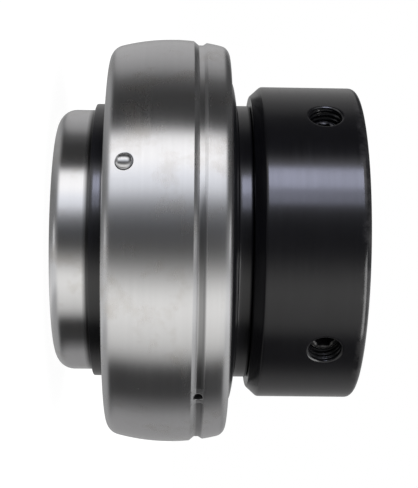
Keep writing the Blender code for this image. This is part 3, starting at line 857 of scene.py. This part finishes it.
class BEARING_OT_set_screws(bpy.types.Operator):
    """Make the two set screws with six-sided sockets, threads and cup points"""

    bl_idname = "bearing.set_screws"
    bl_label = "Set Screws"

    def execute(self, context):
        s = context.scene.bearing_sizes
        columns = 96
        t = columns_at(columns, 0.0)
        flats = s.socket_across / 2 / np.cos((t + pi / 6) % (pi / 3) - pi / 6)
        outer, inner, radius = s.screw_outer, s.screw_inner, s.screw_radius
        bottom = outer - s.socket_depth
        tip = 0.55 * radius
        # Rows of a radius and a distance out: the socket's hollow bottom, then its six flats
        rows = [(flats * 0.5, bottom - 0.00022), (flats * 0.94, bottom - 0.00003), (flats, bottom + 0.00006)]
        rows += [(flats, bottom + (s.socket_depth - 0.0002) * k) for k in (0.1, 0.3, 0.5, 0.7, 0.9, 1.0)]
        # The flats open into a round mouth, and the end face runs out to the thread's chamfer
        mouth = s.socket_across / 2 * 1.17
        rows += [(np.maximum(flats, mouth * 0.97), outer - 0.00006), (np.maximum(flats, mouth), outer)]
        # Shares of wear, one for each row
        shares = [0] * 9 + [1] * 2
        rows += [(mouth + (radius - 0.0005 - mouth) * k, outer) for k in (0.25, 0.6, 0.9, 1.0)]
        rows += [(radius - 0.00042, outer - 0.00003), (radius - 0.0001, outer - 0.0004)]
        shares += [0] * 3 + [1] * 3
        # The thread fades out towards the socket end and towards the cone of the cup point
        cone_start = inner + radius - tip
        threaded = np.linspace(outer - 0.00044, cone_start - 0.0001, 66)
        fade = smooth(outer - 0.0004, outer - 0.0009, threaded)
        fade = fade * smooth(cone_start - 0.0001, cone_start + 0.0004, threaded)
        rows += [(radius - 0.00006 - 0.00030 * f * thread(x, t, s.pitch), x) for x, f in zip(threaded, fade)]
        rows += [(radius - 0.00012, cone_start - 0.0002), (tip + 0.00006, inner + 0.00003), (tip, inner)]
        rows += [(tip - 0.00006, inner + 0.00002), (tip * 0.5, inner + 0.00018)]
        shares += [0] * len(threaded) + [0, 1, 1, 1, 0]
        wide = np.array([np.broadcast_to(r, columns) for r, _ in rows])
        out = np.array([np.broadcast_to(x, columns) for _, x in rows])
        for node, angle in (("set_screw_upper", s.upper_screw), ("set_screw_lower", s.lower_screw)):
            across, up, outwards, origin = arms(angle, s.screw_height)
            grid = origin + (wide * np.cos(t))[..., None] * across + (wide * np.sin(t))[..., None] * up
            grid = grid + out[..., None] * outwards
            skin = Skin()
            numbers = skin.add(grid, out[:, :1], np.array(shares, float)[:, None])
            skin.join(np.hstack([numbers, numbers[:, :1]]))
            skin.close(numbers[0], origin + (bottom - 0.00035) * outwards)
            skin.close(numbers[-1], origin + (inner + 0.0003) * outwards)
            skin.finish(node, finish_named("set_screw_black"), "blackened_steel", 28.0)
        return {"FINISHED"}


class BEARING_OT_locating_pin(bpy.types.Operator):
    """Make the locating pin with its domed head"""

    bl_idname = "bearing.locating_pin"
    bl_label = "Locating Pin"

    def execute(self, context):
        s = context.scene.bearing_sizes
        base = sqrt(s.outer**2 - (s.pin_height - s.ball_plane) ** 2)
        floor = base - s.pin_depth
        t = np.linspace(0, pi / 2, 15)
        dome = [(s.pin_radius * cos(a), base + s.pin_crown * sin(a)) for a in t[:-1]]
        profile = [(0.0, floor), (s.pin_radius - 0.0002, floor), (s.pin_radius, floor + 0.0002)]
        profile += [(s.pin_radius, floor + (base - floor) * k) for k in (0.3, 0.6, 0.9)]
        profile += dome + [(0.0, base + s.pin_crown)]
        place = arms(s.pin_angle, s.pin_height)
        turned_piece("locating_pin", profile, 48, "pin_steel", "ground_steel", place=place, seam=0.0)
        return {"FINISHED"}


def spline(points, steps):
    """A smooth path through points: between two of them each coordinate is a cubic that leaves and
    arrives along the line that joins their neighbours."""
    p = np.asarray(points, float)
    p = np.vstack([2 * p[0] - p[1], p, 2 * p[-1] - p[-2]])
    t = np.linspace(0, 1, steps + 1)[:-1, None]
    parts = []
    for a, b, c, d in zip(p, p[1:], p[2:], p[3:]):
        parts.append(0.5 * (2 * b + (c - a) * t + (2 * a - 5 * b + 4 * c - d) * t**2 + (3 * b - a - 3 * c + d) * t**3))
    return np.vstack(parts + [p[-2:-1]])


class BEARING_OT_flingers(bpy.types.Operator):
    """Make the two domed pressed shrouds on the inner ring"""

    bl_idname = "bearing.flingers"
    bl_label = "Flingers"

    def execute(self, context):
        s = context.scene.bearing_sizes
        bore, rim, hub, sheet = s.land + FIT, s.shoulder - 0.0006, s.flinger_hub, s.flinger_sheet
        start, end, dome = s.flinger_start, s.flinger_end, s.flinger_dome
        # Shares of the way in from the rim to the hub, and of the dome's height
        shares = ((0.0, 0.36), (0.04, 0.50), (0.12, 0.62), (0.25, 0.74))
        shares += ((0.42, 0.83), (0.62, 0.905), (0.84, 0.965), (0.96, 1.0))
        outer = spline([(rim - a * (rim - hub), start + b * dome) for a, b in shares], 5)
        under = 1.15 * sheet
        inner = outer[::-1] - [0.0, under]
        inner = inner[inner[:, 0] < rim - 1.6 * sheet]
        bend = start + dome + 0.0002
        section = [(rim - sheet, start), (rim - 0.0001, start), (rim, start + 0.0001)]
        section += outer.tolist()
        section += [(hub + 0.00004, bend - 0.0001), (hub, bend), (hub, bend + 0.0006), (hub, end - 0.0007)]
        section += [(hub, end - 0.00025), (hub - 0.00006, end - 0.00008), (hub - 0.00022, end)]
        section += [(bore + 0.0001, end), (bore, end - 0.0001), (bore, bend), (bore, start + dome - under)]
        section = np.array(section + inner.tolist() + [(rim - sheet, start + 0.0006)])
        # The plain side's flinger takes the lighter copy of the black: painted light
        sides = (("flinger_collar_side", 1, "flinger_black"), ("flinger_plain_side", -1, "flinger_thin_black"))
        for node, side, finish in sides:
            profile = np.stack([section[:, 0], s.ball_plane + side * section[:, 1]], -1)
            turned_piece(node, profile, 256, finish, "blackened_steel", 40.0, closed=True)
        return {"FINISHED"}


class BEARING_OT_seals(bpy.types.Operator):
    """Make the two moulded rubber seals with their ribs and lips"""

    bl_idname = "bearing.seals"
    bl_label = "Seals"

    def execute(self, context):
        s = context.scene.bearing_sizes
        low_face, high_face, soft = 0.00743, 0.00827, 0.00008
        rim, lip = s.shoulder + 0.00092, s.land + 0.00015
        section = [(rim, low_face, 0.0001), (rim, high_face, 0.0001)]
        for middle in (0.0292, 0.0280, 0.0268):
            ditch = ((0.0003, 0.0), (0.0002, 0.0002), (-0.0002, 0.0002), (-0.0003, 0.0))
            section += [(middle + away, high_face - down, soft) for away, down in ditch]
        section += [(lip + 0.0016, high_face, 0.0002), (lip, high_face - 0.0001, soft)]
        section += [(lip, low_face + 0.0003, soft), (lip + 0.0009, low_face, 0.0002)]
        for node, side in (("seal_collar_side", 1), ("seal_plain_side", -1)):
            profile, _ = rounded([(r, s.ball_plane + side * z, f) for r, z, f in section])
            turned_piece(node, profile, 180, "moulded_rubber", "seal_rubber", closed=True)
        return {"FINISHED"}


def ball_angle(number):
    """The first ball lies at -Y, and the others follow at even steps of a turn over their number."""
    return 3 * pi / 2 + tau * (number - 1) / BALLS


def on_pitch(s, angle):
    """An upright frame on the circle of the ball centres."""
    return (*UPRIGHT[:3], np.array([s.pitch_radius * cos(angle), s.pitch_radius * sin(angle), s.ball_plane]))


class BEARING_OT_balls(bpy.types.Operator):
    """Make the nine balls"""

    bl_idname = "bearing.balls"
    bl_label = "Balls"

    def execute(self, context):
        s = context.scene.bearing_sizes
        t = np.linspace(-pi / 2, pi / 2, 37)
        profile = np.stack([s.ball_radius * np.cos(t), s.ball_radius * np.sin(t)], -1)
        profile[0, 0] = profile[-1, 0] = 0.0
        for number in range(1, BALLS + 1):
            finish, place = "polished_ball_steel", on_pitch(s, ball_angle(number))
            turned_piece(f"ball_{number}", profile, 64, finish, "polished_steel", 180.0, place=place)
        return {"FINISHED"}


class BEARING_OT_cage(bpy.types.Operator):
    """Make the two halves of the ribbon cage and the rivets between the balls"""

    bl_idname = "bearing.cage"
    bl_label = "Cage"

    def execute(self, context):
        s = context.scene.bearing_sizes
        sheet, gap, width, play = 0.0008, 0.00004, 0.0043, 0.0003
        pocket = s.ball_radius + play

        def height(radius, offset, sphere, flat):
            """The ribbon is part of a sphere over a ball and flat between balls, whichever is higher."""
            away = (radius * np.cos(offset) - s.pitch_radius) ** 2 + (radius * np.sin(offset)) ** 2
            return np.maximum(flat, np.sqrt(np.maximum(0.0, sphere**2 - away)))

        # Angles from a ball to half way to the next, close together where the sphere is steep
        reach = np.arcsin((pocket + sheet) / s.pitch_radius)
        curved = np.arcsin(pocket / s.pitch_radius * np.sin(np.linspace(0, pi / 2, 15)))
        half = np.concatenate([curved, np.linspace(reach, pi / BALLS, 6)])
        offsets = np.concatenate([-half[:0:-1], half[:-1]])
        angles = (np.array([ball_angle(n) for n in range(1, BALLS + 1)])[:, None] + offsets).ravel()
        local = np.tile(offsets, BALLS)
        radii = s.pitch_radius + width / 2 * np.linspace(-1, 1, 9)
        loop_r = np.concatenate([radii, radii[::-1]])
        for node, side in (("cage_half_collar_side", 1), ("cage_half_plain_side", -1)):
            inner = height(radii[:, None], local, pocket, gap)
            outer = height(radii[::-1, None], local, pocket + sheet, gap + sheet)
            z = s.ball_plane + side * np.vstack([inner, outer])
            grid = np.stack([loop_r[:, None] * np.cos(angles), loop_r[:, None] * np.sin(angles), z], -1)
            skin = Skin()
            numbers = skin.add(grid)
            numbers = np.vstack([numbers, numbers[:1]])
            skin.join(np.hstack([numbers, numbers[:, :1]]))
            skin.finish(node, finish_named("pressed_sheet"), "pressed_steel", 50.0)
        start, shank, head, edge, crown = gap + sheet + 0.00004, 0.0007, 0.0013, 0.0001, 0.0004
        t = np.linspace(0, pi / 2, 9)[:-1]
        upper = [(shank, start), (head, start)] + [(head * cos(a), start + edge + crown * sin(a)) for a in t]
        upper += [(0.0, start + edge + crown)]
        profile = [(r, -z) for r, z in upper[::-1]] + [(shank, 0.0)] + upper
        for number in range(1, BALLS + 1):
            place = on_pitch(s, ball_angle(number) + pi / BALLS)
            turned_piece(f"rivet_{number}", profile, 24, "pressed_sheet", "pressed_steel", place=place)
        return {"FINISHED"}


# Studio


def rising(tree, value, start, end):
    """Rises evenly from 0 to 1 while a value goes from start to end."""
    return add(tree, "ShaderNodeMapRange", {"Value": value, 1: start, 2: end}, clamp=True).outputs[0]


def between(tree, towards):
    """The direction half way between a direction and the way from the bearing to the camera."""
    half = add(tree, "ShaderNodeVectorMath", {0: towards, 1: (0.0, -1.0, 0.0)}, operation="ADD").outputs[0]
    return add(tree, "ShaderNodeVectorMath", {0: half}, operation="NORMALIZE").outputs[0]


def studio_world(level):
    """Even light all round, in which metal sees softboxes and dark cards.

    The cards and boxes are bands in u, the height in the picture at which a ball that stands where
    the bearing stands would show that direction: half way between it and the way to the camera. The
    bands give u from -1 to 1, the ramps for the two sides give it from 0 to 1.
    """
    world = bpy.data.worlds.new("studio")
    world.use_nodes = True
    tree = world.node_tree
    tree.nodes.clear()
    towards = add(tree, "ShaderNodeTexCoord").outputs["Generated"]
    # The boxes run along the bearing's axis, so directions off its middle plane are drawn towards it
    drawn = add(tree, "ShaderNodeVectorMath", {0: towards, 1: (1.0, 1.0, 0.8)}, operation="MULTIPLY").outputs[0]
    drawn = add(tree, "ShaderNodeVectorMath", {0: drawn}, operation="NORMALIZE").outputs[0]
    parts = add(tree, "ShaderNodeSeparateXYZ", {0: between(tree, drawn)})
    u = scaled(tree, parts.outputs[0], -0.5, 0.5)
    neutral, cool, warm = (1.0, 0.99, 0.99), (1.0, 1.02, 1.08), (1.0, 0.99, 0.965)
    bands = (
        (-1.0, 0.40, neutral),
        (-0.95, 0.35, neutral),
        (-0.88, 0.36, neutral),
        (-0.84, 0.33, neutral),
        (-0.80, 0.19, neutral),
        (-0.74, 0.05, neutral),
        (-0.63, 0.04, neutral),
        (-0.60, 0.09, neutral),
        (-0.555, 0.46, warm),
        (-0.51, 0.75, warm),
        (-0.45, 0.90, warm),
        (-0.34, 1.08, warm),
        (-0.27, 1.05, warm),
        (-0.22, 0.84, warm),
        (-0.16, 0.50, warm),
        (-0.10, 0.22, warm),
        (-0.04, 0.095, neutral),
        (0.05, 0.085, cool),
        (0.11, 0.15, cool),
        (0.16, 0.28, cool),
        (0.20, 0.55, cool),
        (0.25, 1.00, cool),
        (0.31, 1.18, cool),
        (0.38, 1.50, neutral),
        (0.475, 1.42, neutral),
        (0.495, 1.10, neutral),
        (0.535, 0.10, neutral),
        (0.58, 0.045, neutral),
        (0.70, 0.05, neutral),
        (0.77, 0.12, neutral),
        (0.83, 0.38, neutral),
        (0.90, 0.50, neutral),
    )
    peak = 1.5
    stops = [((1 + at) / 2, tuple(level * c / peak for c in hue)) for at, level, hue in bands]
    seen = ramp(tree, u, stops)
    studio = add(tree, "ShaderNodeVectorMath", {0: seen, "Scale": peak}, operation="SCALE").outputs[0]
    # Steep directions see the room on either side
    w = add(tree, "ShaderNodeSeparateXYZ", {0: between(tree, towards)}).outputs[2]
    collar_side = ((0.02, 0.22), (0.08, 0.28), (0.13, 0.38), (0.20, 0.50), (0.28, 0.66), (0.33, 0.95), (0.38, 0.90))
    collar_side += ((0.43, 0.42), (0.50, 0.26), (0.60, 0.12), (0.72, 0.07))
    plain_side = ((0.04, 0.40), (0.12, 0.40), (0.22, 0.40), (0.30, 0.50), (0.35, 0.85), (0.41, 0.75), (0.50, 0.24))
    plain_side += ((0.66, 0.25), (0.72, 0.34), (0.82, 0.42), (0.88, 0.32), (0.92, 0.18))
    studio = blend(tree, rising(tree, w, 0.31, 0.48), studio, ramp(tree, u, collar_side))
    studio = blend(tree, rising(tree, w, -0.47, -0.62), studio, ramp(tree, u, plain_side))
    # All bands meet straight behind the bearing, where one grey takes their place
    way = add(tree, "ShaderNodeSeparateXYZ", {0: towards})
    even = (level, level, level)
    studio = blend(tree, rising(tree, way.outputs[1], 0.86, 0.97), studio, shade(even, 0.42))
    # Straight along the axis the room is even
    upright = rising(tree, maths(tree, "ABSOLUTE", way.outputs[2]), 0.985, 0.997)
    studio = blend(tree, upright, studio, shade(even))
    path = add(tree, "ShaderNodeLightPath")
    mirrored = maths(tree, "MAXIMUM", path.outputs["Is Glossy Ray"], path.outputs["Is Transmission Ray"])
    colour = blend(tree, mirrored, shade(even), studio)
    colour = blend(tree, path.outputs["Is Camera Ray"], colour, (1.0, 1.0, 1.0, 1.0))
    background = add(tree, "ShaderNodeBackground", {"Color": colour, "Strength": 1.0})
    add(tree, "ShaderNodeOutputWorld", {"Surface": background.outputs[0]})
    return world


def placed(name, data, x, y, z, where):
    """An object in the scene whose axes point along three unit vectors."""
    obj = linked(name, data)
    matrix = np.eye(4)
    matrix[:3] = np.stack([x, y, z, where], 1)
    obj.matrix_world = Matrix(matrix.tolist())
    return obj


def strip_lamp(name, radiance, hue, degrees, width, reach, onto):
    """A soft strip 170 mm long that faces the bearing's axis and lights some pieces.

    The degrees are its azimuth, towards -X from -Y, and its elevation.
    """
    long, middle = 0.17, 0.05
    light = bpy.data.lights.new(name, "AREA")
    light.shape, light.size, light.size_y = "RECTANGLE", width, long
    light.energy = radiance * pi * width * long
    light.color = hue
    azimuth, elevation = (radians(angle) for angle in degrees)
    flat = np.array([-sin(azimuth), -cos(azimuth), 0.0])
    out = flat * cos(elevation) + np.array([0, 0, sin(elevation)])
    across = np.array([-flat[1], flat[0], 0.0])
    lamp = placed(name, light, across, np.cross(out, across), out, np.array([0, 0, middle]) + reach * out)
    lamp.visible_camera = False
    lamp.light_linking.receiver_collection = onto


def floor_material():
    """A pale floor: white to the camera where nothing shades it, with the bearing's soft shadow."""
    material, tree, shader = new_material("studio_floor")
    grain = noise(tree, object_place(tree), 60.0, 3.0, 0.5)
    pale = blend(tree, grain, (0.16, 0.16, 0.16, 1), (0.18, 0.18, 0.18, 1))
    feed(shader, {"Base Color": pale, "Roughness": 0.9, "Specular IOR Level": 0.0})
    path = add(tree, "ShaderNodeLightPath")
    seen = maths(tree, "MAXIMUM", path.outputs["Is Camera Ray"], path.outputs["Is Glossy Ray"])
    seen = maths(tree, "MAXIMUM", seen, path.outputs["Is Transmission Ray"])
    glow = add(tree, "ShaderNodeEmission", {"Color": (1, 1, 1, 1), "Strength": maths(tree, "MULTIPLY", seen, 0.93)})
    both = add(tree, "ShaderNodeAddShader", {0: shader.outputs[0], 1: glow.outputs[0]})
    feed(tree.nodes["Material Output"], {"Surface": both.outputs[0]})
    return material


class BEARING_OT_studio(bpy.types.Operator):
    """Make the pale floor, the soft light all round and the camera"""

    bl_idname = "bearing.studio"
    bl_label = "Studio"

    def execute(self, context):
        k = context.scene.bearing_studio
        context.scene.view_settings.view_transform = "Standard"
        context.scene.world = studio_world(k.level)
        reach = np.linspace(-12.0, 12.0, 25)
        x, y = np.meshgrid(reach, reach)
        skin = Skin()
        skin.join(skin.add(np.stack([x, y, 0 * x], -1)))
        mesh = bpy.data.meshes.new("floor")
        mesh.from_pydata(np.concatenate(skin.points).tolist(), [], skin.faces[0].tolist())
        mesh.materials.append(floor_material())
        floor = linked("floor", mesh)
        floor.visible_glossy = False

        # The blackened pieces mirror so little that they have brighter strips to themselves
        dark = bpy.data.collections.new("blackened_pieces")
        names = ("locking_collar", "flinger_collar_side", "flinger_plain_side", "set_screw_upper", "set_screw_lower")
        for name in names:
            dark.objects.link(bpy.data.objects[f"{name}_skin"])
        blue, white = (0.93, 0.97, 1.28), (1.0, 1.0, 1.0)
        strip_lamp("key_strip", 8.2, blue, (45.0, 0.0), 0.108, 0.40, dark)
        strip_lamp("key_fringe", 3.3, blue, (31.4, 0.0), 0.074, 0.40, dark)
        strip_lamp("overhead_box", 5.2, white, (-44.0, 36.0), 0.36, 0.35, dark)

        camera = bpy.data.cameras.new("camera")
        camera.sensor_fit, camera.sensor_width, camera.lens = "AUTO", 36.0, k.lens
        camera.shift_y = k.shift
        camera.clip_start, camera.clip_end = 0.005, 60.0
        right, up = np.array([0, -sin(k.yaw), cos(k.yaw)]), np.array([-1.0, 0, 0])
        back = np.array([0, -cos(k.yaw), -sin(k.yaw)])
        rolled_right = right * cos(k.roll) - up * sin(k.roll)
        rolled_up = right * sin(k.roll) + up * cos(k.roll)
        place = np.array([0, 0, k.aim_height]) + back * k.distance
        context.scene.camera = placed("camera", camera, rolled_right, rolled_up, back, place)
        return {"FINISHED"}


OPERATORS = (
    BEARING_OT_outer_ring,
    BEARING_OT_inner_ring,
    BEARING_OT_locking_collar,
    BEARING_OT_set_screws,
    BEARING_OT_locating_pin,
    BEARING_OT_flingers,
    BEARING_OT_seals,
    BEARING_OT_balls,
    BEARING_OT_cage,
    BEARING_OT_studio,
)


class BEARING_PT_pieces(bpy.types.Panel):
    """The bearing's pieces and its studio"""

    bl_idname = "BEARING_PT_pieces"
    bl_label = "Insert Bearing"
    bl_space_type = "VIEW_3D"
    bl_region_type = "UI"
    bl_category = "Bearing"

    def draw(self, context):
        for operator in OPERATORS:
            self.layout.operator(operator.bl_idname)
        for group in (context.scene.bearing_sizes, context.scene.bearing_finishes, context.scene.bearing_studio):
            box = self.layout.box()
            for name in group.bl_rna.properties.keys():
                if name not in ("rna_type", "name"):
                    box.prop(group, name)


GROUPS = {"bearing_sizes": BearingSizes, "bearing_finishes": BearingFinishes, "bearing_studio": BearingStudio}


def register():
    """Registers the classes and gives the scene its groups of properties."""
    for cls in (*GROUPS.values(), *OPERATORS, BEARING_PT_pieces):
        bpy.utils.register_class(cls)
    for name, cls in GROUPS.items():
        setattr(bpy.types.Scene, name, PointerProperty(type=cls))


def unregister():
    """Takes away what register set up."""
    for name in GROUPS:
        delattr(bpy.types.Scene, name)
    for cls in (BEARING_PT_pieces, *OPERATORS[::-1], *GROUPS.values()):
        bpy.utils.unregister_class(cls)


def main():
    """Registers the classes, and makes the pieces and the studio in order."""
    register()
    for operator in OPERATORS:
        group, name = operator.bl_idname.split(".")
        getattr(getattr(bpy.ops, group), name)()


if __name__ == "__main__":
    main()
